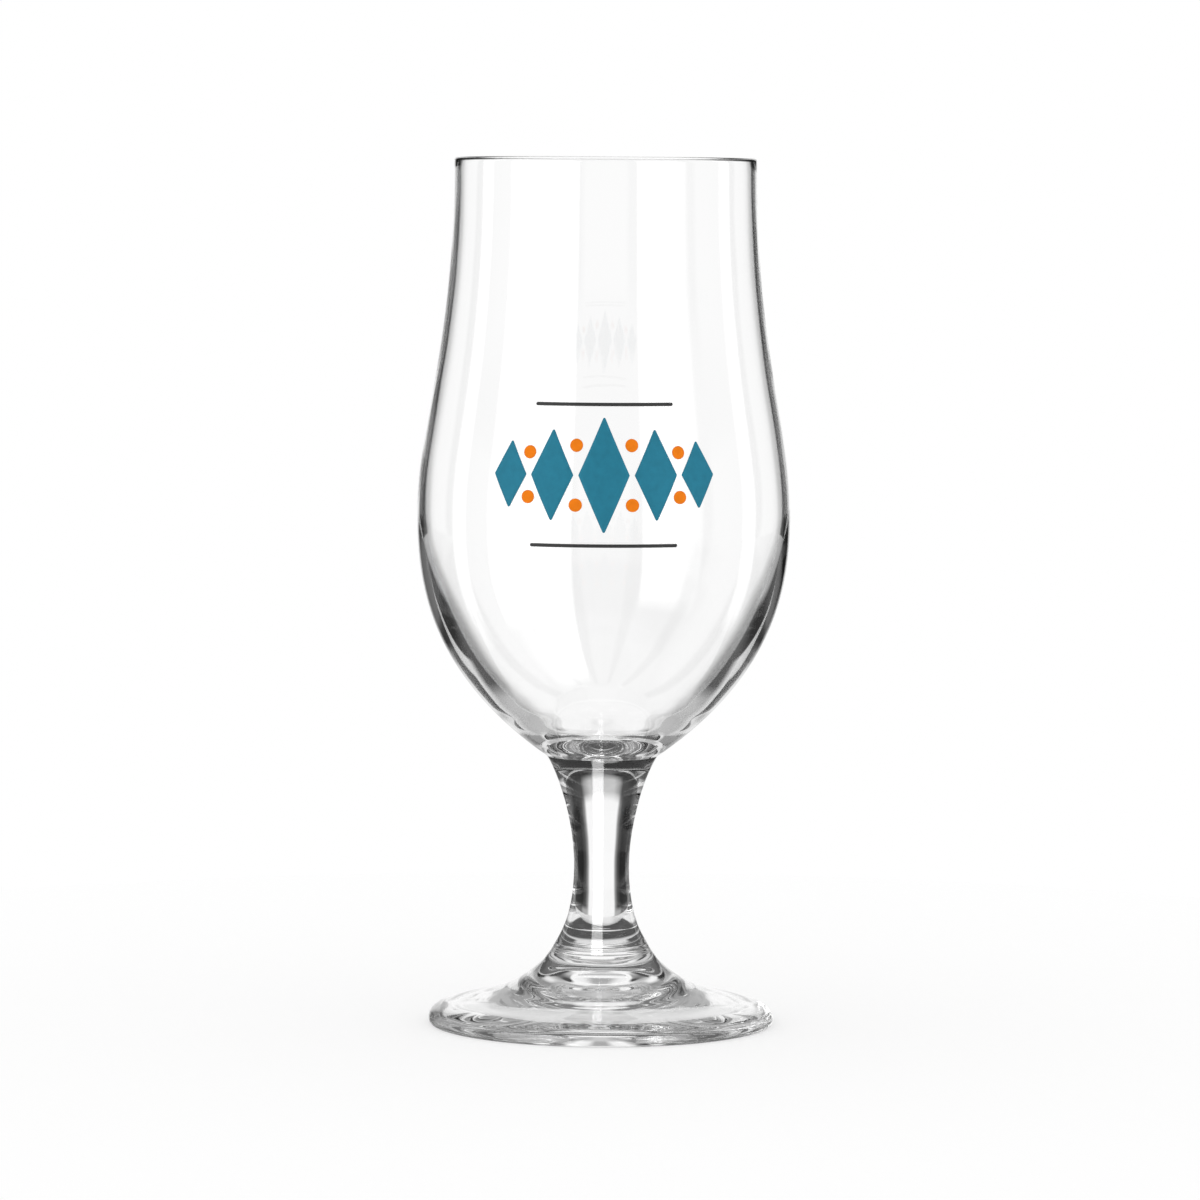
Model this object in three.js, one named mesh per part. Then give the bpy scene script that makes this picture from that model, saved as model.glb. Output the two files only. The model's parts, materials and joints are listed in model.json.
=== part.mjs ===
// A stemmed beer glass: a blown bowl, a waisted stem and a pressed foot, fused at two seams,
// with a printed frieze of ink films on the front of the bowl.
// Millimetres, +Z up, origin on the table under the middle of the foot, front of the glass towards -Y.
import * as THREE from "three";

// Heights of the three glass pieces
const FOOT_HEIGHT = 16.5;
const STEM_HEIGHT = 39.5;
const BOWL_HEIGHT = 124;

// Bowl, outside
const RIM_DIAMETER = 62.5;
const BELLY_DIAMETER = 77.3;
const BELLY_DROP = 73; // from the rim down to the widest point
const BOWL_SEAM_DIAMETER = 23;
const BOWL_SEAM_FLARE = 35; // degrees above level, where the bowl leaves the stem

// Bowl, inside
const RIM_WALL = 1.3;
const BELLY_WALL = 1.6;
const BOWL_FLOOR = 2.5; // glass between the seam and the bottom of the cavity
const CAVITY_ROUND = 15; // reach of the rounding at the bottom of the cavity

// Stem
const WAIST_DIAMETER = 11.5;
const WAIST_DROP = 23; // from the bowl seam down to the narrowest point
const STEM_TOP_FLARE = 59; // degrees above level, where the stem leaves the bowl

// Foot
const FOOT_SEAM_DIAMETER = 19.6;
const FOOT_SEAM_FLARE = 63; // degrees below level, where the stem runs into the foot
const FOOT_DIAMETER = 71.8;
const FOOT_SLOPE = 9; // degrees below level, where the top of the foot meets its edge
const FOOT_SHOULDER_WIDTH = 6.2; // rounded top of the edge
const FOOT_SHOULDER_HEIGHT = 4.9;
const FOOT_WIDEST_HEIGHT = 1.3;
const FOOT_UNDER_ROUND = 0.9; // rounding between the edge and the resting ring
const REST_RING_WIDTH = 3;
const HOLLOW_DEPTH = 5; // of the dome under the foot
const HOLLOW_SLOPE = 8; // degrees above level, where the dome leaves the resting ring

// Print: a row of lozenges with discs between them and a rule above and below
const PRINT_RISE = 9.5; // middle of the print above the belly
const INK_GAP = 0.05;
const INK_THICKNESS = 0.1;
const LOZENGE_COUNT = 5;
const LOZENGE_WIDTH = 10.4; // the middle one, the others are smaller by a step each
const LOZENGE_HEIGHT = 24;
const LOZENGE_WIDTH_STEP = 1.5;
const LOZENGE_HEIGHT_STEP = 5;
const LOZENGE_GAP = 1;
const DISC_DIAMETER = 2.7;
const DISC_RISE = 6; // of the discs nearest the middle, the others are lower by a step each
const DISC_RISE_STEP = 1.5;
const RULE_LENGTH = 30;
const RULE_WIDTH = 0.7;
const RULE_RISE = 14.2; // of each rule from the middle of the print

// Fullness of the curves: how far each end keeps its direction, as a share of the span
const UPPER_BOWL_PULL = { rim: 0.54, belly: 0.245 };
const LOWER_BOWL_PULL = { belly: 0.26, seam: 0.55 };
const CAVITY_PULL = 0.54;
const UPPER_STEM_PULL = { seam: 0.265, waist: 0.35 };
const LOWER_STEM_PULL = { waist: 0.665, seam: 0.14 };
const FOOT_TOP_PULL = { seam: 0.365, edge: 0.41 };
const HOLLOW_PULL = { ring: 0.3, middle: 0.45 };

// Facets
const TURN_STEPS = 48;
const CURVE_STEPS = 10;
const LIP_STEPS = 3;

// Levels and radii that the pieces share
const FOOT_SEAM_Z = FOOT_HEIGHT;
const BOWL_SEAM_Z = FOOT_SEAM_Z + STEM_HEIGHT;
const RIM_Z = BOWL_SEAM_Z + BOWL_HEIGHT;
const BELLY_Z = RIM_Z - BELLY_DROP;
const RIM_RADIUS = RIM_DIAMETER / 2;
const BELLY_RADIUS = BELLY_DIAMETER / 2;
const BOWL_SEAM_RADIUS = BOWL_SEAM_DIAMETER / 2;
const FOOT_SEAM_RADIUS = FOOT_SEAM_DIAMETER / 2;

const UP = 90;
const DOWN = -90;
const INWARD = 180;

const point = (radius, z) => new THREE.Vector2(radius, z);

// The point that lies a given distance from another, in a direction in degrees above level
function along(from, degrees, distance) {
  const angle = THREE.MathUtils.degToRad(degrees);
  return point(from.x + distance * Math.cos(angle), from.y + distance * Math.sin(angle));
}

// A curve that leaves one point in a direction and arrives at another in a direction
function flow(start, leaving, startReach, end, arriving, endReach) {
  const startHandle = along(start, leaving, startReach);
  const endHandle = along(end, arriving, -endReach);
  return new THREE.CubicBezierCurve(start, startHandle, endHandle, end);
}

const line = (start, end) => new THREE.LineCurve(start, end);

// A solid of revolution about Z from a chain of curves that starts and ends on the axis
function revolve(curves, steps = CURVE_STEPS) {
  const outline = [];
  for (const curve of curves) {
    const divisions = curve.isLineCurve ? 1 : curve.isEllipseCurve ? 2 * LIP_STEPS : steps;
    const points = curve.getPoints(divisions);
    outline.push(...points.slice(outline.length ? 1 : 0));
  }
  outline[0].x = 0;
  outline[outline.length - 1].x = 0;
  return new THREE.LatheGeometry(outline, TURN_STEPS).rotateX(Math.PI / 2);
}

// Outside of the bowl, from the seam up to the lip
const lipRadius = RIM_WALL / 2;
const bowlSeamEdge = point(BOWL_SEAM_RADIUS, BOWL_SEAM_Z);
const belly = point(BELLY_RADIUS, BELLY_Z);
const lipOutside = point(RIM_RADIUS, RIM_Z - lipRadius);
const lowerSpan = bowlSeamEdge.distanceTo(belly);
const upperSpan = lipOutside.y - belly.y;
const lowerBowl = flow(
  bowlSeamEdge,
  BOWL_SEAM_FLARE,
  LOWER_BOWL_PULL.seam * lowerSpan,
  belly,
  UP,
  LOWER_BOWL_PULL.belly * (belly.y - bowlSeamEdge.y),
);
const upperBowl = flow(
  belly,
  UP,
  UPPER_BOWL_PULL.belly * upperSpan,
  lipOutside,
  UP,
  UPPER_BOWL_PULL.rim * upperSpan,
);

function bowlGeometry() {
  const axisBelow = point(0, BOWL_SEAM_Z);
  const lip = new THREE.ArcCurve(RIM_RADIUS - lipRadius, lipOutside.y, lipRadius, 0, Math.PI, false);
  const lipInside = point(RIM_RADIUS - RIM_WALL, lipOutside.y);
  const innerBelly = point(BELLY_RADIUS - BELLY_WALL, BELLY_Z);
  const floor = point(0, BOWL_SEAM_Z + BOWL_FLOOR);
  const innerUpper = flow(
    lipInside,
    DOWN,
    UPPER_BOWL_PULL.rim * upperSpan,
    innerBelly,
    DOWN,
    UPPER_BOWL_PULL.belly * upperSpan,
  );
  const innerLower = flow(
    innerBelly,
    DOWN,
    CAVITY_PULL * (innerBelly.y - floor.y),
    floor,
    INWARD,
    CAVITY_ROUND,
  );
  return revolve([line(axisBelow, bowlSeamEdge), lowerBowl, upperBowl, lip, innerUpper, innerLower]);
}

function stemGeometry() {
  const waist = point(WAIST_DIAMETER / 2, BOWL_SEAM_Z - WAIST_DROP);
  const footSeamEdge = point(FOOT_SEAM_RADIUS, FOOT_SEAM_Z);
  const lowerRise = waist.y - footSeamEdge.y;
  const lower = flow(
    footSeamEdge,
    INWARD - FOOT_SEAM_FLARE,
    LOWER_STEM_PULL.seam * lowerRise,
    waist,
    UP,
    LOWER_STEM_PULL.waist * lowerRise,
  );
  const upper = flow(
    waist,
    UP,
    UPPER_STEM_PULL.waist * WAIST_DROP,
    bowlSeamEdge,
    STEM_TOP_FLARE,
    UPPER_STEM_PULL.seam * WAIST_DROP,
  );
  const bottom = line(point(0, FOOT_SEAM_Z), footSeamEdge);
  const top = line(bowlSeamEdge, point(0, BOWL_SEAM_Z));
  return revolve([bottom, lower, upper, top]);
}

function footGeometry() {
  const edge = FOOT_DIAMETER / 2;
  const seamEdge = point(FOOT_SEAM_RADIUS, FOOT_SEAM_Z);
  const shoulder = point(edge - FOOT_SHOULDER_WIDTH, FOOT_SHOULDER_HEIGHT);
  const widest = point(edge, FOOT_WIDEST_HEIGHT);
  const ringOutside = point(edge - FOOT_UNDER_ROUND, 0);
  const ringInside = point(ringOutside.x - REST_RING_WIDTH, 0);
  const hollowTop = point(0, HOLLOW_DEPTH);
  const shoulderFall = FOOT_SHOULDER_WIDTH * Math.tan(THREE.MathUtils.degToRad(FOOT_SLOPE));
  const shoulderCorner = point(edge, FOOT_SHOULDER_HEIGHT - shoulderFall);
  const topSpan = shoulder.x - seamEdge.x;
  const hollow = flow(
    hollowTop,
    0,
    HOLLOW_PULL.middle * ringInside.x,
    ringInside,
    -HOLLOW_SLOPE,
    HOLLOW_PULL.ring * ringInside.x,
  );
  const top = flow(
    shoulder,
    INWARD - FOOT_SLOPE,
    FOOT_TOP_PULL.edge * topSpan,
    seamEdge,
    INWARD - FOOT_SEAM_FLARE,
    FOOT_TOP_PULL.seam * topSpan,
  );
  return revolve([
    hollow,
    line(ringInside, ringOutside),
    new THREE.QuadraticBezierCurve(ringOutside, point(edge, 0), widest),
    new THREE.QuadraticBezierCurve(widest, shoulderCorner, shoulder),
    top,
    line(seamEdge, point(0, FOOT_SEAM_Z)),
  ]);
}

// Radius of the bowl's outside at a level, found by halving along the curve
function bowlRadiusAt(z) {
  const curve = z < BELLY_Z ? lowerBowl : upperBowl;
  let low = 0;
  let high = 1;
  for (let halvings = 0; halvings < 40; halvings += 1) {
    const middle = (low + high) / 2;
    if (curve.getPoint(middle).y < z) low = middle;
    else high = middle;
  }
  return curve.getPoint(low).x;
}

const PRINT_Z = BELLY_Z + PRINT_RISE;
const PRINT_RADIUS = bowlRadiusAt(PRINT_Z);

// A point of the print, across and up from its middle, wrapped on the bowl and lifted off the glass
function onBowl(across, up, lift) {
  const z = PRINT_Z + up;
  const angle = across / PRINT_RADIUS - Math.PI / 2;
  const radius = bowlRadiusAt(z) + lift;
  return [radius * Math.cos(angle), radius * Math.sin(angle), z];
}

// One closed film of ink, as columns across an outline whose half height is given at each place across
function filmGeometry(middle, width, halfHeightAt, columns, rows) {
  const positions = [];
  const triangles = [];
  const sheets = [INK_GAP, INK_GAP + INK_THICKNESS].map((lift) => {
    const sheet = [];
    for (let i = 0; i <= columns; i += 1) {
      const share = -Math.cos((Math.PI * i) / columns);
      const halfHeight = i % columns ? halfHeightAt(share) : 0;
      const column = [];
      for (let j = 0; j <= rows; j += 1) {
        if (j > 0 && halfHeight === 0) {
          column.push(column[0]);
          continue;
        }
        const up = middle.y + halfHeight * ((2 * j) / rows - 1);
        column.push(positions.length / 3);
        positions.push(...onBowl(middle.x + (share * width) / 2, up, lift));
      }
      sheet.push(column);
    }
    return sheet;
  });
  const triangle = (a, b, c) => {
    if (a !== b && b !== c && c !== a) triangles.push(a, b, c);
  };
  const quad = (a, b, c, d) => {
    triangle(a, b, c);
    triangle(a, c, d);
  };
  const [back, front] = sheets;
  for (let i = 0; i < columns; i += 1) {
    for (let j = 0; j < rows; j += 1) {
      quad(front[i][j], front[i + 1][j], front[i + 1][j + 1], front[i][j + 1]);
      quad(back[i][j], back[i][j + 1], back[i + 1][j + 1], back[i + 1][j]);
    }
    quad(back[i][0], back[i + 1][0], front[i + 1][0], front[i][0]);
    quad(front[i][rows], front[i + 1][rows], back[i + 1][rows], back[i][rows]);
  }
  const geometry = new THREE.BufferGeometry();
  geometry.setAttribute("position", new THREE.Float32BufferAttribute(positions, 3));
  geometry.setIndex(triangles);
  geometry.computeVertexNormals();
  return geometry;
}

const lozengeFilm = (middle, width, height) =>
  filmGeometry(middle, width, (share) => (height / 2) * (1 - Math.abs(share)), 8, 6);

const discFilm = (middle, diameter) =>
  filmGeometry(middle, diameter, (share) => (diameter / 2) * Math.sqrt(1 - share * share), 10, 2);

const ruleFilm = (middle, length, width) => filmGeometry(middle, length, () => width / 2, 24, 2);

const glass = new THREE.MeshStandardMaterial({
  color: 0xf4f8f7,
  roughness: 0.02,
  metalness: 0,
  transparent: true,
  opacity: 0.35,
});
const tealInk = new THREE.MeshStandardMaterial({ color: 0x25778f, roughness: 0.45, metalness: 0 });
const orangeInk = new THREE.MeshStandardMaterial({ color: 0xec7c0c, roughness: 0.45, metalness: 0 });
const greyInk = new THREE.MeshStandardMaterial({ color: 0x363636, roughness: 0.45, metalness: 0 });

const beerGlass = new THREE.Group();

function add(name, geometry, material) {
  const mesh = new THREE.Mesh(geometry, material);
  mesh.name = name;
  beerGlass.add(mesh);
}

add("bowl", bowlGeometry(), glass);
add("stem", stemGeometry(), glass);
add("foot", footGeometry(), glass);

// The frieze grows outward from its middle lozenge, alike on both sides
function addFrieze() {
  const steps = (LOZENGE_COUNT - 1) / 2;
  add("print_lozenge_middle", lozengeFilm(point(0, 0), LOZENGE_WIDTH, LOZENGE_HEIGHT), tealInk);
  for (const [side, sign] of [["left", -1], ["right", 1]]) {
    let reach = LOZENGE_WIDTH / 2;
    for (let step = 1; step <= steps; step += 1) {
      const width = LOZENGE_WIDTH - step * LOZENGE_WIDTH_STEP;
      const height = LOZENGE_HEIGHT - step * LOZENGE_HEIGHT_STEP;
      const middle = reach + LOZENGE_GAP + width / 2;
      add(`print_lozenge_${side}_${step}`, lozengeFilm(point(sign * middle, 0), width, height), tealInk);
      const gapMiddle = sign * (reach + LOZENGE_GAP / 2);
      const rise = DISC_RISE - (step - 1) * DISC_RISE_STEP;
      add(`print_disc_${side}_${step}_upper`, discFilm(point(gapMiddle, rise), DISC_DIAMETER), orangeInk);
      add(`print_disc_${side}_${step}_lower`, discFilm(point(gapMiddle, -rise), DISC_DIAMETER), orangeInk);
      reach = middle + width / 2;
    }
  }
  add("print_rule_upper", ruleFilm(point(0, RULE_RISE), RULE_LENGTH, RULE_WIDTH), greyInk);
  add("print_rule_lower", ruleFilm(point(0, -RULE_RISE), RULE_LENGTH, RULE_WIDTH), greyInk);
}
addFrieze();

export default beerGlass;
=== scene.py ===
"""A stemmed beer glass on a pale table: smooth blown bowl, pressed stem and foot, and a printed frieze.

Sizes are in millimetres where they are named, and become metres where points are made.
"""
import json
import math
from collections import namedtuple

import bpy
from mathutils import Matrix, Vector, noise


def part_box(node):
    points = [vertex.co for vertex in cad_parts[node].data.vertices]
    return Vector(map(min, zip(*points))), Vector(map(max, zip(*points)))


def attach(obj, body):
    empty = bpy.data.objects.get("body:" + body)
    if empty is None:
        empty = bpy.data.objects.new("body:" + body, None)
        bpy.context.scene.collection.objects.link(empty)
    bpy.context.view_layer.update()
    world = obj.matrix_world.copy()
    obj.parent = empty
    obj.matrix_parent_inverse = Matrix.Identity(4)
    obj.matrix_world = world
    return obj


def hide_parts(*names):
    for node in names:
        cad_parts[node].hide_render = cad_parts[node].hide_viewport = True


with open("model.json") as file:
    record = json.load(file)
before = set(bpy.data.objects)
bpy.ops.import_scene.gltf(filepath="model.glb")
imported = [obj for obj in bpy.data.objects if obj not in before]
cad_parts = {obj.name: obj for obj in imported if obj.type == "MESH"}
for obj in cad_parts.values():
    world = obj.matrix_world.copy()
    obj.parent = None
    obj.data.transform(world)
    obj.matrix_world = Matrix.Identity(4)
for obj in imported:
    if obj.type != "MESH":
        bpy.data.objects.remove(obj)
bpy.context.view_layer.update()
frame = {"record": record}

MM = 0.001
BODY = "root"

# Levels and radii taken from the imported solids, in millimetres
RIM_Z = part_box("bowl")[1].z / MM
BOWL_SEAM_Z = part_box("stem")[1].z / MM
FOOT_SEAM_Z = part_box("foot")[1].z / MM
BELLY_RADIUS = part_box("bowl")[1].x / MM
BOWL_SEAM_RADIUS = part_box("stem")[1].x / MM
FOOT_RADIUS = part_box("foot")[1].x / MM

# Bowl
RIM_RADIUS = 31.25
BELLY_DROP = 73
BOWL_SEAM_FLARE = 35
RIM_WALL = 1.3
BELLY_WALL = 1.6
BOWL_FLOOR = 2.5
CAVITY_ROUND = 15

# Stem
WAIST_RADIUS = 5.75
WAIST_DROP = 23
STEM_TOP_FLARE = 59

# Foot
FOOT_SEAM_RADIUS = 9.8
FOOT_SEAM_FLARE = 63
FOOT_SLOPE = 9
FOOT_SHOULDER_WIDTH = 6.2
FOOT_SHOULDER_HEIGHT = 4.9
FOOT_WIDEST_HEIGHT = 1.3
FOOT_UNDER_ROUND = 0.9
REST_RING_WIDTH = 3
HOLLOW_DEPTH = 5
HOLLOW_SLOPE = 8

# Fullness of the curves: how far each end keeps its direction, as a share of the span
UPPER_BOWL_PULL = {"rim": 0.54, "belly": 0.245}
LOWER_BOWL_PULL = {"belly": 0.26, "seam": 0.55}
CAVITY_PULL = 0.54
UPPER_STEM_PULL = {"seam": 0.265, "waist": 0.35}
LOWER_STEM_PULL = {"waist": 0.665, "seam": 0.14}
FOOT_TOP_PULL = {"seam": 0.365, "edge": 0.41}
HOLLOW_PULL = {"ring": 0.3, "middle": 0.45}

# Fine relief: rings by radius, half width and height, waves by height, length round and length up
DIMPLE_RADIUS = 3.2
DIMPLE_DEPTH = 0.4
RIPPLE_PITCH = 5.2
RIPPLE_HEIGHT = 0.06
RIPPLE_LEVELS = (57, 72)
GROOVE_PITCH = 0.9
GROOVE_DEPTH = 0.03
GROOVE_LEVELS = (14.6, 17.4)
FOOT_RINGS = ((7, 3, 0.25), (14, 4, 0.3))
FOOT_WAVE = (0.05, 12, 3)
STEM_WAVE = (0.06, 8, 9)
BOWL_WAVE = (0.03, 22, 26)
FINE_WAVE_RATE = 2.3
FINE_WAVE_SHARE = 0.4
SEAM_CALM = 3
TABLE_CALM = 1.2

# Fineness of the revolved meshes
TURN_STEPS = 192
CURVE_STEPS = 48
FINE_STEPS = 160
LIP_STEPS = 16
FOOT_UNDER_STEPS = 12
FOOT_EDGE_STEPS = 20
CREASE_ANGLE = 40
SAME_PLACE = 1e-4

UP = 90
DOWN = -90
INWARD = 180
HALF_TURN = 180


def along(start, degrees, distance):
    """The point a distance from another, in a direction in degrees above level."""
    angle = math.radians(degrees)
    return (start[0] + distance * math.cos(angle), start[1] + distance * math.sin(angle))


def bezier(handles, steps):
    """Points of a Bezier curve of any order, both ends included."""
    points = []
    for i in range(steps + 1):
        t = i / steps
        level = [Vector(h) for h in handles]
        while len(level) > 1:
            level = [a.lerp(b, t) for a, b in zip(level, level[1:])]
        points.append(tuple(level[0]))
    return points


def flow(start, leaving, start_reach, end, arriving, end_reach, steps=CURVE_STEPS):
    """Points of a curve that leaves one point in a direction and arrives at another in a direction."""
    handles = (start, along(start, leaving, start_reach), along(end, arriving, -end_reach), end)
    return bezier(handles, steps)


def chain(*pieces):
    """Joins runs of points, leaving out the points that repeat."""
    outline = list(pieces[0])
    for piece in pieces[1:]:
        outline.extend(piece[1:])
    return outline


def swell(value, low, high):
    """A smooth hump over a range: nought at both ends, one in the middle."""
    if not low < value < high:
        return 0
    return math.sin(math.pi * (value - low) / (high - low)) ** 2


def grooved(points):
    """Fine rings pressed into the glass where the stem meets the foot."""
    ringed = []
    for radius, z in points:
        turn = 2 * math.pi * (z - FOOT_SEAM_Z) / GROOVE_PITCH
        ringed.append((radius + GROOVE_DEPTH * swell(z, *GROOVE_LEVELS) * math.cos(turn), z))
    return ringed


def rippled(points):
    """Soft rings and a bottom dimple that the blowing left inside the bowl."""
    rings = []
    for radius, z in points:
        turn = 2 * math.pi * (z - RIPPLE_LEVELS[0]) / RIPPLE_PITCH
        ring = RIPPLE_HEIGHT * swell(z, *RIPPLE_LEVELS) * math.sin(turn)
        dimple = DIMPLE_DEPTH * swell(radius, -DIMPLE_RADIUS, DIMPLE_RADIUS)
        rings.append((radius + ring if radius > 0 else 0, z - dimple))
    return rings


def ringed_hollow(points):
    """Raised rings in the hollow under the foot."""
    ringed = []
    for radius, z in points:
        rise = sum(height * swell(radius, at - half, at + half) for at, half, height in FOOT_RINGS)
        ringed.append((radius, z + rise))
    return ringed


def bowl_outside():
    """The bowl's outside from the seam to the lip, in two runs that meet at the belly."""
    seam = (BOWL_SEAM_RADIUS, BOWL_SEAM_Z)
    belly = (BELLY_RADIUS, RIM_Z - BELLY_DROP)
    lip = (RIM_RADIUS, RIM_Z - RIM_WALL / 2)
    span = math.dist(seam, belly)
    rise = lip[1] - belly[1]
    lower = flow(seam, BOWL_SEAM_FLARE, LOWER_BOWL_PULL["seam"] * span,
                 belly, UP, LOWER_BOWL_PULL["belly"] * (belly[1] - seam[1]))
    upper = flow(belly, UP, UPPER_BOWL_PULL["belly"] * rise, lip, UP, UPPER_BOWL_PULL["rim"] * rise)
    return lower, upper


def bowl_outline():
    """The whole profile of the bowl, from the axis up its outside, over the lip and down its inside."""
    lower, upper = bowl_outside()
    lip_z = RIM_Z - RIM_WALL / 2
    rise = BELLY_DROP - RIM_WALL / 2
    lip = []
    for i in range(LIP_STEPS + 1):
        angle = math.pi * i / LIP_STEPS
        radius = RIM_RADIUS - RIM_WALL / 2 * (1 - math.cos(angle))
        lip.append((radius, lip_z + RIM_WALL / 2 * math.sin(angle)))
    inner_lip = (RIM_RADIUS - RIM_WALL, lip_z)
    inner_belly = (BELLY_RADIUS - BELLY_WALL, RIM_Z - BELLY_DROP)
    floor = (0, BOWL_SEAM_Z + BOWL_FLOOR)
    inner_upper = flow(inner_lip, DOWN, UPPER_BOWL_PULL["rim"] * rise,
                       inner_belly, DOWN, UPPER_BOWL_PULL["belly"] * rise)
    inner_lower = flow(inner_belly, DOWN, CAVITY_PULL * (inner_belly[1] - floor[1]),
                       floor, INWARD, CAVITY_ROUND, FINE_STEPS)
    seam = [(0, BOWL_SEAM_Z), (BOWL_SEAM_RADIUS, BOWL_SEAM_Z)]
    return chain(seam, lower, upper, lip, inner_upper, rippled(inner_lower))


def stem_outline():
    """The profile of the stem, from the axis at the foot up its side and back to the axis."""
    waist = (WAIST_RADIUS, BOWL_SEAM_Z - WAIST_DROP)
    foot_edge = (FOOT_SEAM_RADIUS, FOOT_SEAM_Z)
    bowl_edge = (BOWL_SEAM_RADIUS, BOWL_SEAM_Z)
    rise = waist[1] - foot_edge[1]
    lower = flow(foot_edge, INWARD - FOOT_SEAM_FLARE, LOWER_STEM_PULL["seam"] * rise,
                 waist, UP, LOWER_STEM_PULL["waist"] * rise, FINE_STEPS)
    upper = flow(waist, UP, UPPER_STEM_PULL["waist"] * WAIST_DROP,
                 bowl_edge, STEM_TOP_FLARE, UPPER_STEM_PULL["seam"] * WAIST_DROP)
    return [(0, FOOT_SEAM_Z)] + chain(grooved(lower), upper, [bowl_edge, (0, BOWL_SEAM_Z)])


def foot_outline():
    """The profile of the foot, from the axis along the hollow underside, round the edge and over the top."""
    seam = (FOOT_SEAM_RADIUS, FOOT_SEAM_Z)
    shoulder = (FOOT_RADIUS - FOOT_SHOULDER_WIDTH, FOOT_SHOULDER_HEIGHT)
    fall = FOOT_SHOULDER_WIDTH * math.tan(math.radians(FOOT_SLOPE))
    widest = (FOOT_RADIUS, FOOT_WIDEST_HEIGHT)
    ring_out = (FOOT_RADIUS - FOOT_UNDER_ROUND, 0)
    ring_in = (ring_out[0] - REST_RING_WIDTH, 0)
    span = shoulder[0] - seam[0]
    hollow = flow((0, HOLLOW_DEPTH), 0, HOLLOW_PULL["middle"] * ring_in[0],
                  ring_in, -HOLLOW_SLOPE, HOLLOW_PULL["ring"] * ring_in[0], FINE_STEPS)
    under = bezier((ring_out, (FOOT_RADIUS, 0), widest), FOOT_UNDER_STEPS)
    edge = bezier((widest, (FOOT_RADIUS, FOOT_SHOULDER_HEIGHT - fall), shoulder), FOOT_EDGE_STEPS)
    top = flow(shoulder, INWARD - FOOT_SLOPE, FOOT_TOP_PULL["edge"] * span,
               seam, INWARD - FOOT_SEAM_FLARE, FOOT_TOP_PULL["seam"] * span, FINE_STEPS)
    rest = [ring_in, ring_out]
    return chain(ringed_hollow(hollow), rest, under, edge, grooved(top), [seam, (0, FOOT_SEAM_Z)])


def waviness(point, level, height, length_round, length_up):
    """Uneven glass: smooth waves of two lengths, calm at the seams and on the table."""
    to_seam = min(abs(level - BOWL_SEAM_Z), abs(level - FOOT_SEAM_Z))
    calm = min(1, to_seam / SEAM_CALM, level / TABLE_CALM)
    place = Vector((point.x / length_round, point.y / length_round, level / length_up))
    fine = FINE_WAVE_SHARE * noise.noise(FINE_WAVE_RATE * place)
    return height * calm * (noise.noise(place) + fine)


def revolve(name, outline, caps, materials, wave):
    """A closed, slightly uneven mesh turned about Z. Faces at a cap's level take the second material."""
    rings = []
    vertices = []
    for i, (radius, z) in enumerate(outline):
        if radius < SAME_PLACE:
            rings.append([len(vertices)] * TURN_STEPS)
            vertices.append((0, 0, z * MM))
            continue
        rings.append(list(range(len(vertices), len(vertices) + TURN_STEPS)))
        for k in range(TURN_STEPS):
            angle = 2 * math.pi * k / TURN_STEPS
            out = Vector((math.cos(angle), math.sin(angle)))
            run = Vector(outline[min(i + 1, len(outline) - 1)]) - Vector(outline[i - 1])
            shift = waviness(out * radius, z, *wave) / run.length
            place = out * (radius + run.y * shift)
            vertices.append((place.x * MM, place.y * MM, (z - run.x * shift) * MM))
    faces = []
    slots = []
    for (lower, upper), (a, b) in zip(zip(rings, rings[1:]), zip(outline, outline[1:])):
        is_cap = any(max(abs(a[1] - cap), abs(b[1] - cap)) < SAME_PLACE for cap in caps)
        for k in range(TURN_STEPS):
            j = (k + 1) % TURN_STEPS
            corners = list(dict.fromkeys((lower[k], lower[j], upper[j], upper[k])))
            faces.append(corners)
            slots.append(1 if is_cap else 0)
    mesh = bpy.data.meshes.new(name)
    mesh.from_pydata(vertices, [], faces)
    for material in materials:
        mesh.materials.append(material)
    mesh.polygons.foreach_set("material_index", slots)
    mesh.polygons.foreach_set("use_smooth", [True] * len(faces))
    mesh.set_sharp_from_angle(angle=math.radians(CREASE_ANGLE))
    mesh.update()
    piece = bpy.data.objects.new(name, mesh)
    bpy.context.scene.collection.objects.link(piece)
    return piece


# Clear soda-lime glass
GLASS_IOR = 1.52


def clear_glass():
    material = bpy.data.materials.new("clear_glass")
    material.use_nodes = True
    shader = material.node_tree.nodes["Principled BSDF"]
    shader.inputs["Base Color"].default_value = (1, 1, 1, 1)
    shader.inputs["Roughness"].default_value = 0
    shader.inputs["IOR"].default_value = GLASS_IOR
    shader.inputs["Transmission Weight"].default_value = 1
    return material


def fused_seam():
    """The seam inside the glass, where light passes straight on."""
    material = bpy.data.materials.new("fused_seam")
    material.use_nodes = True
    nodes = material.node_tree.nodes
    clear = nodes.new("ShaderNodeBsdfTransparent")
    material.node_tree.links.new(clear.outputs[0], nodes["Material Output"].inputs["Surface"])
    return material


glass = clear_glass()
seam_clear = fused_seam()
for node, outline, caps, wave in (
    ("bowl", bowl_outline(), (BOWL_SEAM_Z,), BOWL_WAVE),
    ("stem", stem_outline(), (BOWL_SEAM_Z, FOOT_SEAM_Z), STEM_WAVE),
    ("foot", foot_outline(), (FOOT_SEAM_Z,), FOOT_WAVE),
):
    piece = revolve("glass_" + node, outline, caps, (glass, seam_clear), wave)
    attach(piece, BODY)
    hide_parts(node)

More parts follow.
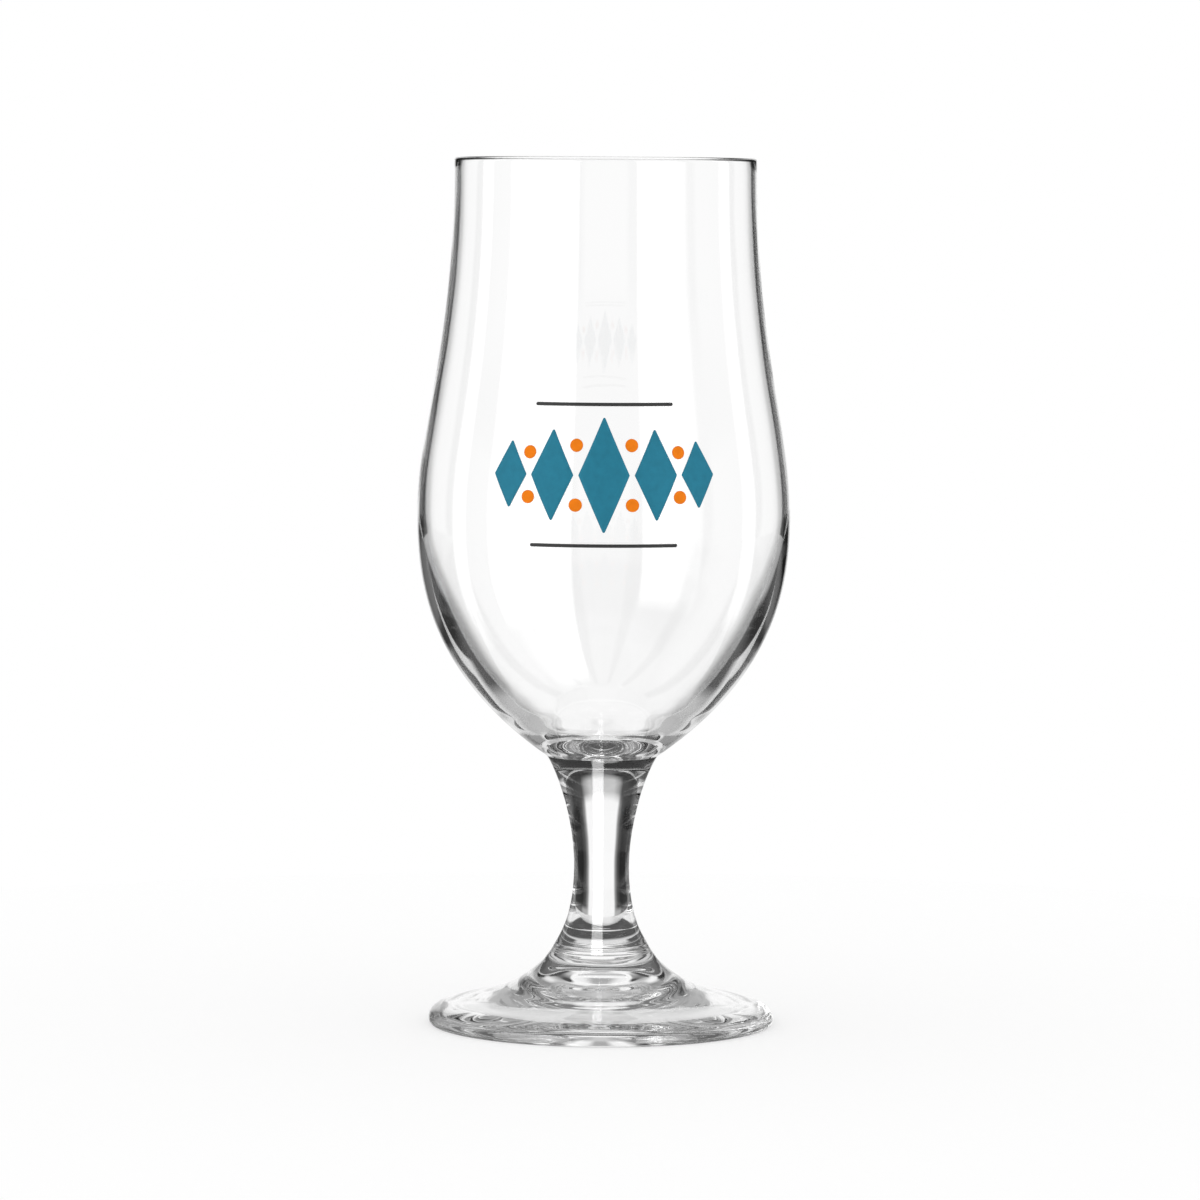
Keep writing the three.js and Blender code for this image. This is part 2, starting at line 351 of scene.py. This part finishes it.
# Ink films of the printed frieze, in millimetres and in linear colours
INK_GAP = 0.05
INK_THICKNESS = 0.1
INK_BEVEL = 0.06
INK_EDGE_SHARE = 0.4
LOZENGE_CORNER = 0.3
SIDE_STEPS = 24
CORNER_STEPS = 6
FILM_RINGS = 8
INKS = {
    "teal_ink": (0.0185, 0.184, 0.275),
    "orange_ink": (0.838, 0.202, 0.0037),
    "grey_ink": (0.037, 0.037, 0.037),
}

# Mottle of the ink: noise scales per metre, shares of the colour, and gloss
MOTTLE_SCALE = 700
MOTTLE_DETAIL = 4
MOTTLE_RANGE = (0.3, 0.7)
MOTTLE_DARK = 0.93
MOTTLE_LIGHT = 1.06
GRAIN_SCALE = 5000
GRAIN_STRENGTH = 0.2
GRAIN_HEIGHT = 0.01
INK_ROUGHNESS = (0.4, 0.55)
INK_SPECULAR = 0.12


def ink(name, colour):
    """Fired screen-print ink: nearly even colour, with a fine mottle in colour, gloss and height."""
    material = bpy.data.materials.new(name)
    material.use_nodes = True
    tree = material.node_tree
    shader = tree.nodes["Principled BSDF"]
    place = tree.nodes.new("ShaderNodeTexCoord")
    cloud = tree.nodes.new("ShaderNodeTexNoise")
    cloud.inputs["Scale"].default_value = MOTTLE_SCALE
    cloud.inputs["Detail"].default_value = MOTTLE_DETAIL
    tree.links.new(place.outputs["Object"], cloud.inputs["Vector"])
    tint = tree.nodes.new("ShaderNodeValToRGB")
    shares = (MOTTLE_DARK, MOTTLE_LIGHT)
    for element, position, share in zip(tint.color_ramp.elements, MOTTLE_RANGE, shares):
        element.position = position
        element.color = (*(min(share * c, 1) for c in colour), 1)
    tree.links.new(cloud.outputs["Fac"], tint.inputs["Fac"])
    tree.links.new(tint.outputs["Color"], shader.inputs["Base Color"])
    grain = tree.nodes.new("ShaderNodeTexNoise")
    grain.inputs["Scale"].default_value = GRAIN_SCALE
    tree.links.new(place.outputs["Object"], grain.inputs["Vector"])
    gloss = tree.nodes.new("ShaderNodeMapRange")
    smoothest, roughest = INK_ROUGHNESS
    gloss.inputs["To Min"].default_value = smoothest
    gloss.inputs["To Max"].default_value = roughest
    tree.links.new(grain.outputs["Fac"], gloss.inputs["Value"])
    tree.links.new(gloss.outputs["Result"], shader.inputs["Roughness"])
    bump = tree.nodes.new("ShaderNodeBump")
    bump.inputs["Strength"].default_value = GRAIN_STRENGTH
    bump.inputs["Distance"].default_value = GRAIN_HEIGHT * MM
    tree.links.new(grain.outputs["Fac"], bump.inputs["Height"])
    tree.links.new(bump.outputs["Normal"], shader.inputs["Normal"])
    shader.inputs["Specular IOR Level"].default_value = INK_SPECULAR
    return material


bowl_side = chain(*bowl_outside())


def bowl_radius_at(z):
    """The radius of the bowl's outside at a level, between the points of its outline."""
    for (r0, z0), (r1, z1) in zip(bowl_side, bowl_side[1:]):
        if z0 <= z <= z1:
            return r0 + (r1 - r0) * (z - z0) / (z1 - z0)
    return RIM_RADIUS


def rounded_polygon(corners, radius):
    """Points round a convex outline with rounded corners, each with its outward direction."""
    tangents = []
    for before, corner, after in zip(corners[-1:] + corners[:-1], corners, corners[1:] + corners[:1]):
        to_before = (Vector(before) - Vector(corner)).normalized()
        to_after = (Vector(after) - Vector(corner)).normalized()
        half = to_before.angle(to_after) / 2
        middle = Vector(corner) + (to_before + to_after).normalized() * radius / math.sin(half)
        reach = radius / math.tan(half)
        first = Vector(corner) + to_before * reach - middle
        last = Vector(corner) + to_after * reach - middle
        tangents.append((middle, first, last))
    points = []
    for (middle, first, last), (next_middle, next_first, _) in zip(tangents, tangents[1:] + tangents[:1]):
        for i in range(CORNER_STEPS + 1):
            out = first.slerp(last, i / CORNER_STEPS).normalized()
            points.append((middle + out * radius, out))
        start = middle + last
        end = next_middle + next_first
        if (end - start).length > radius:
            for i in range(1, SIDE_STEPS):
                points.append((start.lerp(end, i / SIDE_STEPS), last.normalized()))
        else:
            points.pop()
    return points


def ink_film(node, material):
    """A thin film with a bevelled edge that lies on the bowl, in the place of a print node."""
    low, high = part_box(node)
    middle_z = (low.z + high.z) / 2 / MM
    half_height = (high.z - low.z) / 2 / MM
    radius = bowl_radius_at(middle_z)
    left = radius * math.asin(low.x / MM / (radius + INK_GAP + INK_THICKNESS))
    right = radius * math.asin(high.x / MM / (radius + INK_GAP + INK_THICKNESS))
    centre = (left + right) / 2
    half_width = (right - left) / 2
    if "lozenge" in node:
        corners = [(half_width, 0), (0, half_height), (-half_width, 0), (0, -half_height)]
        outline = rounded_polygon(corners, LOZENGE_CORNER)
    else:
        corners = [(1, 1), (-1, 1), (-1, -1), (1, -1)]
        outline = rounded_polygon([(half_width * x, half_height * y) for x, y in corners], half_height)
    stations = [(k / FILM_RINGS, INK_BEVEL, INK_GAP) for k in range(1, FILM_RINGS + 1)]
    stations.append((1, 0, INK_GAP + INK_EDGE_SHARE * INK_THICKNESS))
    stations.extend((k / FILM_RINGS, INK_BEVEL, INK_GAP + INK_THICKNESS) for k in range(FILM_RINGS, 0, -1))
    vertices = []

    def add_vertex(across, up, lift):
        z = middle_z + up
        angle = (centre + across) / radius - math.pi / 2
        out = bowl_radius_at(z) + lift
        vertices.append((out * math.cos(angle) * MM, out * math.sin(angle) * MM, z * MM))

    for share, inset, lift in stations:
        for place, out in outline:
            across, up = (place - out * inset) * share
            add_vertex(across, up, lift)
    count = len(outline)
    faces = []
    for row in range(len(stations) - 1):
        for k in range(count):
            j = (k + 1) % count
            faces.append((row * count + k, row * count + j, (row + 1) * count + j, (row + 1) * count + k))
    back = len(vertices)
    add_vertex(0, 0, INK_GAP)
    front = len(vertices)
    add_vertex(0, 0, INK_GAP + INK_THICKNESS)
    last = (len(stations) - 1) * count
    for k in range(count):
        j = (k + 1) % count
        faces.append((back, j, k))
        faces.append((front, last + k, last + j))
    mesh = bpy.data.meshes.new(node + "_film")
    mesh.from_pydata(vertices, [], faces)
    mesh.materials.append(material)
    mesh.polygons.foreach_set("use_smooth", [True] * len(faces))
    mesh.update()
    piece = bpy.data.objects.new(node + "_film", mesh)
    bpy.context.scene.collection.objects.link(piece)
    return piece


ink_materials = {slot: ink(slot, colour) for slot, colour in INKS.items()}
for part in frame["record"]["subparts"]:
    slot = part["material_slot"]
    if slot in INKS:
        film = ink_film(part["node"], ink_materials[slot])
        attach(film, BODY)
        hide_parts(part["node"])

# Camera: the photograph's distance, height and aim, in millimetres
CAMERA_DISTANCE = 1314
CAMERA_HEIGHT = 191
AIM = (-0.66, 0, 88.4)
LENS = 190.5
SENSOR_WIDTH = 36
CLIP_START = 10
ROLL = 0.35


def add_camera():
    camera = bpy.data.objects.new("camera", bpy.data.cameras.new("camera"))
    bpy.context.scene.collection.objects.link(camera)
    place = Vector((AIM[0] * MM, -CAMERA_DISTANCE * MM, CAMERA_HEIGHT * MM))
    look = Vector(AIM) * MM - place
    turn = look.to_track_quat("-Z", "Y").to_matrix().to_4x4()
    camera.matrix_world = Matrix.Translation(place) @ turn @ Matrix.Rotation(math.radians(ROLL), 4, "Z")
    camera.data.lens = LENS
    camera.data.sensor_width = SENSOR_WIDTH
    camera.data.clip_start = CLIP_START * MM
    bpy.context.scene.camera = camera


add_camera()

# Studio light by its way through the glass: one level, or stops of degrees from straight behind and levels
Band = namedtuple("Band", "stops start end")
TWO_WALLS = 4  # crossings of the surface
GUIDED_AFTER = 4  # turns inside the glass
BELOW = 0.9
BEHIND = ((18, 1), (21, 0.3), (25, 0.08), (32, 0.02), (60, 0.03), (75, 0.3), (120, 0.4))
BEHIND_RAISED = Band(((12, 0.6), (18, 0.35), (22, 0.08), (40, 0.05), (60, 0.2), (160, 0.5)), 12, 16)
BEHIND_HIGH = Band(((8, 0.1), (14, 0.04), (60, 0.03), (80, 0.3), (160, 0.4)), 22, 28)
BEHIND_LOW = Band(((18, 1), (21, 0.45), (30, 0.4), (34, 0.15), (100, 0.15), (120, 0.4)), -24, -28)
BEHIND_BELOW = Band(BELOW, -46, -54)
ONCE = ((15, 1), (17.5, 0.02), (30, 0.02), (33, 0.45), (40, 0.45), (46, 0.8))
ONCE_RAISED = Band(
    ((3, 0.4), (7, 0.9), (14, 1), (18, 0.6), (24, 0.22), (40, 0.3), (60, 0.4), (160, 0.5)), 8, 12)
ONCE_HIGH = Band(((6, 0.6), (18, 0.4), (34, 0.6), (60, 0.5), (160, 0.6)), 26, 36)
INSIDE = ((14, 1), (20, 0.85), (24, 0.1), (58, 0.1), (66, 0.4), (108, 0.4), (112, 1), (158, 1), (162, 0.4))
INSIDE_RAISED = Band(
    ((14, 1), (18, 0.6), (24, 0.12), (72, 0.15), (90, 0.9), (130, 0.9), (140, 0.2)), 10, 14)
INSIDE_HIGH = Band(((20, 0.4), (50, 0.6), (100, 0.3), (160, 0.6)), 36, 42)
INSIDE_LOW = Band(((20, 0.15), (40, 0.1), (160, 0.15)), -2, -8)
GUIDED = ((22, 0.9), (32, 0.8), (50, 0.3), (80, 0.3), (90, 0.15), (104, 0.04), (140, 0.04), (155, 0.2))
GUIDED_RAISED = Band(
    ((50, 0.88), (56, 0.66), (62, 0.12), (90, 0.1), (104, 0.87), (125, 0.6), (150, 0.23)), 15, 19)
GUIDED_HIGH = Band(((75, 0.02), (95, 0.3)), 26, 30)
GUIDED_LOW = Band(
    ((20, 0.3), (44, 0.4), (68, 0.2), (100, 0.3), (134, 0.7), (141, 0.14), (160, 0.4), (168, 1)), -14, -20)
THROUGH = ((12, 1), (15, 0.55), (19, 0.2), (22, 0.05), (32, 0.05), (38, 1))
THROUGH_LOW = Band(((9, 1), (14, 0.6), (17, 0.2), (22, 0.1), (32, 0.1), (38, 1)), -15, -21)
THROUGH_BELOW = Band(BELOW, -30, -38)
BACK_WALL = 0.9
BACK_WALL_RAISED = Band(((80, 0.9), (100, 0.05)), 12, 18)
BACK_WALL_HIGH = Band(0.6, 52, 58)
ON_MATT = 0.6

# Dark flags all round the glass, in degrees from the middle of the gap between two of them
FLAGS = ((15, 0.95), (19, 0.04))
FLAG_SPACING = 45
FLAGS_FROM = 46
FLAGS_FROM_BEHIND = 84
FLAGS_EASE = 4

# Light mirrored by the outside of the glass: dark near the edges, bright strips on both sides
EDGE_MIRROR = ((12, 1), (16, 0.5), (18.5, 0.03), (31, 0.03), (35, 0.3), (42, 0.4), (48, 0.8))
EDGE_MIRROR_LOW = Band(((12, 0.7), (16, 0.3), (19, 0.03), (50, 0.03), (60, 0.5)), -6, -9)
EDGE_MIRROR_END = (58, 62)
STRIPS_LEFT = ((72, 0.8), (74.5, 3), (84, 3), (86, 0.5), (103, 0.6), (105.5, 4), (159, 4), (161, 0.5))
STRIPS_LEFT_LOW = Band(((72, 0.6), (106, 0.6), (128, 4), (159, 4), (161, 0.5)), -24, -40)
STRIPS_RIGHT = (
    (71.5, 0.8), (73.5, 3), (83, 3), (85.5, 0.5),
    (115, 0.5), (118, 2), (126, 2), (131, 4), (155, 4), (157, 0.5),
)
MIRRORED_HIGH = Band(((60, 0.8), (120, 0.3)), 36, 42)
MIRRORED_LOW = ((60, 0.1), (120, 0.4))
STRIPS_LEFT_END = Band(MIRRORED_LOW, -65, -73)
STRIPS_RIGHT_END = Band(MIRRORED_LOW, -25, -33)
MIDDLE_EASE = 0.01  # radians

# Light panels round the glass, in millimetres
TABLE_FRONT = 37
TABLE_REACH = 420
TABLE_DARK = (96, 99)
TABLE_LIGHT = (132, 146)
TABLE_NEAR = (150, 110)
TABLE_NEAR_DARK = (66, 80)
TABLE_FAR = (168, 176)
TABLE_SLOTS = ((30, 33), (80, 84))
TABLE_MIDDLE_LEVEL = 0.95
TABLE_DARK_LEVEL = 0.03
TABLE_OUTER_LEVEL = 0.55
TABLE_NEAR_LEVELS = (0.6, 0.1)
TABLE_SLOT_LEVEL = 0.06
TABLE_Z = -0.04
# Disc under the foot, by radius and level: its dark middle is a painted shadow of the foot
UNDER_FOOT = ((14.5, 0.08), (18.5, 0.7))
UNDER_FOOT_Z = -0.02
UNDER_FOOT_PALE = 0.7
UNDER_FOOT_PALE_Z = -0.03
STEM_FLAG_GAP = 1.5
STEM_FLAG_TURN = 75
STEM_FLAG_STEPS = 24
STEM_FLAG_LEVEL = 0.03
STEM_STRIP_X = (-2.5, 0.4)
STEM_STRIP_EASE = 0.2
STEM_STRIP_LEVEL = 9

# Floor: the share of its own white that the camera sees, which makes its shadows paler
FLOOR_RADIUS = 260
FLOOR_GLOW = 0.5


def feed(tree, socket, value):
    """Sets a socket to a number, or links another socket to it."""
    if isinstance(value, (int, float)):
        socket.default_value = value
    else:
        tree.links.new(value, socket)


def calculate(tree, operation, *values):
    """The result of a sum, product or other operation on sockets or numbers."""
    node = tree.nodes.new("ShaderNodeMath")
    node.operation = operation
    for socket, value in zip(node.inputs, values):
        feed(tree, socket, value)
    return node.outputs[0]


def blend_levels(tree, share, first, second):
    """A level between two others, the second where the share is one."""
    node = tree.nodes.new("ShaderNodeMix")
    feed(tree, node.inputs[0], share)
    feed(tree, node.inputs[2], first)
    feed(tree, node.inputs[3], second)
    return node.outputs[0]


def fade(tree, value, start, end, first=0, last=1):
    """A level that goes evenly from the first to the last, as a value goes from the start to the end."""
    node = tree.nodes.new("ShaderNodeMapRange")
    feed(tree, node.inputs["Value"], value)
    feed(tree, node.inputs["From Min"], start)
    feed(tree, node.inputs["From Max"], end)
    feed(tree, node.inputs["To Min"], first)
    feed(tree, node.inputs["To Max"], last)
    return node.outputs[0]


def ramp(tree, value, stops):
    """A level that follows stops of degrees and levels over half a turn, or a level as it is."""
    if not isinstance(stops, tuple):
        return stops
    node = tree.nodes.new("ShaderNodeValToRGB")
    elements = node.color_ramp.elements
    while len(elements) < len(stops):
        elements.new(1)
    for element, (degrees, level) in zip(elements, stops):
        element.position = degrees / HALF_TURN
        element.color = (level, level, level, 1)
    tree.links.new(value, node.inputs["Fac"])
    return node.outputs["Color"]


def path_kinds(tree):
    """Shares, nought or one, of light by its way through the glass."""
    path = tree.nodes.new("ShaderNodeLightPath")
    clear = calculate(tree, "LESS_THAN", path.outputs["Diffuse Depth"], 1)
    crossed = calculate(tree, "MULTIPLY", path.outputs["Is Transmission Ray"], clear)
    glossy = calculate(tree, "MULTIPLY", path.outputs["Is Glossy Ray"], clear)
    turns = path.outputs["Glossy Depth"]
    thick = calculate(tree, "LESS_THAN", path.outputs["Transmission Depth"], TWO_WALLS)
    solid = calculate(tree, "MULTIPLY", crossed, thick)
    walls = calculate(tree, "SUBTRACT", crossed, solid)
    bounced = calculate(tree, "GREATER_THAN", turns, 0)
    unbounced = calculate(tree, "LESS_THAN", turns, 1)
    return {
        "on_matt": calculate(tree, "SUBTRACT", path.outputs["Is Transmission Ray"], crossed),
        "mirrored": calculate(tree, "SUBTRACT", glossy, crossed),
        "straight": calculate(tree, "MULTIPLY", solid, unbounced),
        "once": calculate(tree, "MULTIPLY", solid, calculate(tree, "COMPARE", turns, 1, 0.5)),
        "inside": calculate(tree, "MULTIPLY", solid, calculate(tree, "GREATER_THAN", turns, 1)),
        "guided": calculate(tree, "MULTIPLY", solid, calculate(tree, "GREATER_THAN", turns, GUIDED_AFTER)),
        "through": calculate(tree, "MULTIPLY", walls, unbounced),
        "back_wall": calculate(tree, "MULTIPLY", walls, bounced),
    }


def add_world():
    """A white world whose level, for light that met the glass, follows its direction and its way there."""
    world = bpy.data.worlds.new("studio")
    bpy.context.scene.world = world
    world.use_nodes = True
    tree = world.node_tree
    coordinate = tree.nodes.new("ShaderNodeTexCoord")
    split = tree.nodes.new("ShaderNodeSeparateXYZ")
    tree.links.new(coordinate.outputs["Generated"], split.inputs[0])
    turn = calculate(tree, "ARCTAN2", split.outputs["X"], split.outputs["Y"])
    share = calculate(tree, "DIVIDE", calculate(tree, "ABSOLUTE", turn), math.pi)
    lift = calculate(tree, "DEGREES", calculate(tree, "ARCSINE", split.outputs["Z"]))
    folded = calculate(tree, "PINGPONG", share, FLAG_SPACING / 2 / HALF_TURN)
    flags = ramp(tree, folded, FLAGS)

    def banded(level_stops, *bands):
        """Levels of the middle, and of bands that take over from one height in degrees to another."""
        level = ramp(tree, share, level_stops)
        for stops, start, end in bands:
            level = blend_levels(tree, fade(tree, lift, start, end), level, ramp(tree, share, stops))
        return level

    def round_fade(start, end):
        """A share that goes from nought to one between two angles round from straight behind."""
        return fade(tree, share, start / HALF_TURN, end / HALF_TURN)

    def flagged(stops, start=FLAGS_FROM):
        """Levels that give way, from an angle on, to dark flags at equal spaces all round the glass."""
        return blend_levels(tree, round_fade(start, start + FLAGS_EASE), ramp(tree, share, stops), flags)

    strips_left = banded(STRIPS_LEFT, STRIPS_LEFT_LOW, STRIPS_LEFT_END)
    strips_right = banded(STRIPS_RIGHT, STRIPS_RIGHT_END)
    strips = blend_levels(tree, fade(tree, turn, -MIDDLE_EASE, MIDDLE_EASE), strips_left, strips_right)
    edge = banded(EDGE_MIRROR, EDGE_MIRROR_LOW)
    through_low = THROUGH_LOW._replace(stops=flagged(THROUGH_LOW.stops))
    behind = flagged(BEHIND, FLAGS_FROM_BEHIND)
    levels = {
        "on_matt": ON_MATT,
        "mirrored": banded(blend_levels(tree, round_fade(*EDGE_MIRROR_END), edge, strips), MIRRORED_HIGH),
        "straight": banded(behind, BEHIND_RAISED, BEHIND_HIGH, BEHIND_LOW, BEHIND_BELOW),
        "once": banded(flagged(ONCE), ONCE_RAISED, ONCE_HIGH),
        "inside": banded(INSIDE, INSIDE_RAISED, INSIDE_HIGH, INSIDE_LOW),
        "guided": banded(GUIDED, GUIDED_RAISED, GUIDED_HIGH, GUIDED_LOW),
        "through": banded(flagged(THROUGH), through_low, THROUGH_BELOW),
        "back_wall": banded(BACK_WALL, BACK_WALL_RAISED, BACK_WALL_HIGH),
    }
    kinds = path_kinds(tree)
    seen = 1
    for kind, level in levels.items():
        seen = blend_levels(tree, kinds[kind], seen, level)
    tree.links.new(seen, tree.nodes["Background"].inputs["Strength"])
    tree.nodes["Background"].inputs["Color"].default_value = (1, 1, 1, 1)


add_world()


def stage_mesh(name, corners, faces, material):
    """A mesh of the studio, which is no part of the glass."""
    mesh = bpy.data.meshes.new(name)
    mesh.from_pydata([tuple(c * MM for c in corner) for corner in corners], [], faces)
    mesh.materials.append(material)
    thing = bpy.data.objects.new(name, mesh)
    bpy.context.scene.collection.objects.link(thing)


def mix_shaders(tree, share, first, second):
    node = tree.nodes.new("ShaderNodeMixShader")
    feed(tree, node.inputs[0], share)
    tree.links.new(first.outputs[0], node.inputs[1])
    tree.links.new(second.outputs[0], node.inputs[2])
    return node


def panel_light(name, kind, level, one_sided=False):
    """A light panel that only one kind of light meets, from its back alone if it is one-sided."""
    material = bpy.data.materials.new(name)
    material.use_nodes = True
    tree = material.node_tree
    clear = tree.nodes.new("ShaderNodeBsdfTransparent")
    light = tree.nodes.new("ShaderNodeEmission")
    place = tree.nodes.new("ShaderNodeNewGeometry")
    strength = level(tree, place.outputs["Position"]) if callable(level) else level
    feed(tree, light.inputs["Strength"], strength)
    share = path_kinds(tree)[kind]
    if one_sided:
        share = calculate(tree, "MULTIPLY", share, place.outputs["Backfacing"])
    whole = mix_shaders(tree, share, clear, light)
    tree.links.new(whole.outputs[0], tree.nodes["Material Output"].inputs["Surface"])
    return material


def table_level(tree, position):
    """A light table behind the glass, with dark strips on each side."""
    split = tree.nodes.new("ShaderNodeSeparateXYZ")
    tree.links.new(position, split.inputs[0])
    out = calculate(tree, "DIVIDE", calculate(tree, "ABSOLUTE", split.outputs["X"]), MM)
    back = calculate(tree, "DIVIDE", split.outputs["Y"], MM)
    level = fade(tree, out, *TABLE_DARK, TABLE_MIDDLE_LEVEL, TABLE_DARK_LEVEL)
    level = blend_levels(tree, fade(tree, out, *TABLE_LIGHT), level, TABLE_OUTER_LEVEL)
    near_level = fade(tree, out, *TABLE_NEAR_DARK, *TABLE_NEAR_LEVELS)
    level = blend_levels(tree, fade(tree, back, *TABLE_NEAR), level, near_level)
    opens, closes = TABLE_SLOTS
    slot = calculate(tree, "SUBTRACT", fade(tree, out, *opens), fade(tree, out, *closes))
    slot = calculate(tree, "MULTIPLY", slot, fade(tree, back, *TABLE_FAR))
    return blend_levels(tree, slot, level, TABLE_SLOT_LEVEL)


def under_foot_shadow_level(tree, position):
    """A disc under the foot, dark in the middle, where it is a painted shadow of the foot."""
    length = tree.nodes.new("ShaderNodeVectorMath")
    length.operation = "LENGTH"
    tree.links.new(position, length.inputs[0])
    (inner, first), (outer, last) = UNDER_FOOT
    return fade(tree, length.outputs["Value"], inner * MM, outer * MM, first, last)


def stem_flag_level(tree, position):
    """A dark sleeve in front of the stem, with a bright slit."""
    split = tree.nodes.new("ShaderNodeSeparateXYZ")
    tree.links.new(position, split.inputs[0])
    left, right = STEM_STRIP_X
    ease = STEM_STRIP_EASE
    enters = fade(tree, split.outputs["X"], (left - ease) * MM, (left + ease) * MM)
    leaves = fade(tree, split.outputs["X"], (right + ease) * MM, (right - ease) * MM)
    slit = calculate(tree, "MULTIPLY", enters, leaves)
    return fade(tree, slit, 0, 1, STEM_FLAG_LEVEL, STEM_STRIP_LEVEL)


def ring(radius, z):
    turns = [2 * math.pi * k / TURN_STEPS for k in range(TURN_STEPS)]
    return [(radius * math.cos(turn), radius * math.sin(turn), z) for turn in turns]


def add_disc(name, radius, z, material):
    stage_mesh(name, ring(radius, z), [list(range(TURN_STEPS))], material)


def add_stem_flag(material):
    """A sleeve just off the front of the stem."""
    profile = [(radius + STEM_FLAG_GAP, z) for radius, z in stem_outline() if radius > 0]
    steps = STEM_FLAG_STEPS
    corners = []
    for radius, z in profile:
        for k in range(steps + 1):
            turn = math.radians(STEM_FLAG_TURN * (2 * k / steps - 1))
            corners.append((radius * math.sin(turn), -radius * math.cos(turn), z))
    faces = []
    for row in range(len(profile) - 1):
        for k in range(steps):
            first = row * (steps + 1) + k
            faces.append((first, first + 1, first + steps + 2, first + steps + 1))
    stage_mesh("stem_flag", corners, faces, material)


def add_panels():
    hollow = FOOT_RADIUS - FOOT_UNDER_ROUND - REST_RING_WIDTH
    # The dark middle of this disc is a painted shadow under the foot
    dark = panel_light("under_foot", "once", under_foot_shadow_level)
    add_disc("under_foot", hollow, UNDER_FOOT_Z, dark)
    pale = panel_light("under_foot_pale", "straight", UNDER_FOOT_PALE)
    add_disc("under_foot_pale", hollow, UNDER_FOOT_PALE_Z, pale)
    near = [(x, TABLE_FRONT, TABLE_Z) for x in (-TABLE_REACH, TABLE_REACH)]
    far = [(x, TABLE_REACH, TABLE_Z) for x in (TABLE_REACH, -TABLE_REACH)]
    stage_mesh("light_table", near + far, [(0, 1, 2, 3)], panel_light("light_table", "once", table_level))
    add_stem_flag(panel_light("stem_flag", "mirrored", stem_flag_level, True))


add_panels()


def add_floor():
    """A pale floor that keeps the shadow, and that light in the glass passes through."""
    material = bpy.data.materials.new("pale_floor")
    material.use_nodes = True
    tree = material.node_tree
    shader = tree.nodes["Principled BSDF"]
    shader.inputs["Base Color"].default_value = (1, 1, 1, 1)
    shader.inputs["Roughness"].default_value = 1
    shader.inputs["Specular IOR Level"].default_value = 0
    path = tree.nodes.new("ShaderNodeLightPath")
    mirrored = path.outputs["Is Glossy Ray"]
    in_glass = calculate(tree, "MAXIMUM", mirrored, path.outputs["Is Transmission Ray"])
    clear = tree.nodes.new("ShaderNodeBsdfTransparent")
    white = tree.nodes.new("ShaderNodeEmission")
    glow = calculate(tree, "MULTIPLY", path.outputs["Is Camera Ray"], FLOOR_GLOW)
    lit = mix_shaders(tree, glow, shader, white)
    whole = mix_shaders(tree, in_glass, lit, clear)
    tree.links.new(whole.outputs[0], tree.nodes["Material Output"].inputs["Surface"])
    add_disc("floor", FLOOR_RADIUS, 0, material)


add_floor()

bpy.context.scene.view_settings.view_transform = "Standard"

# Light may turn often inside the thick glass
TURNS_IN_GLASS = 40
TURNS_IN_ALL = 48
cycles = bpy.context.scene.cycles
cycles.max_bounces = TURNS_IN_ALL
cycles.glossy_bounces = TURNS_IN_GLASS
cycles.transmission_bounces = TURNS_IN_GLASS
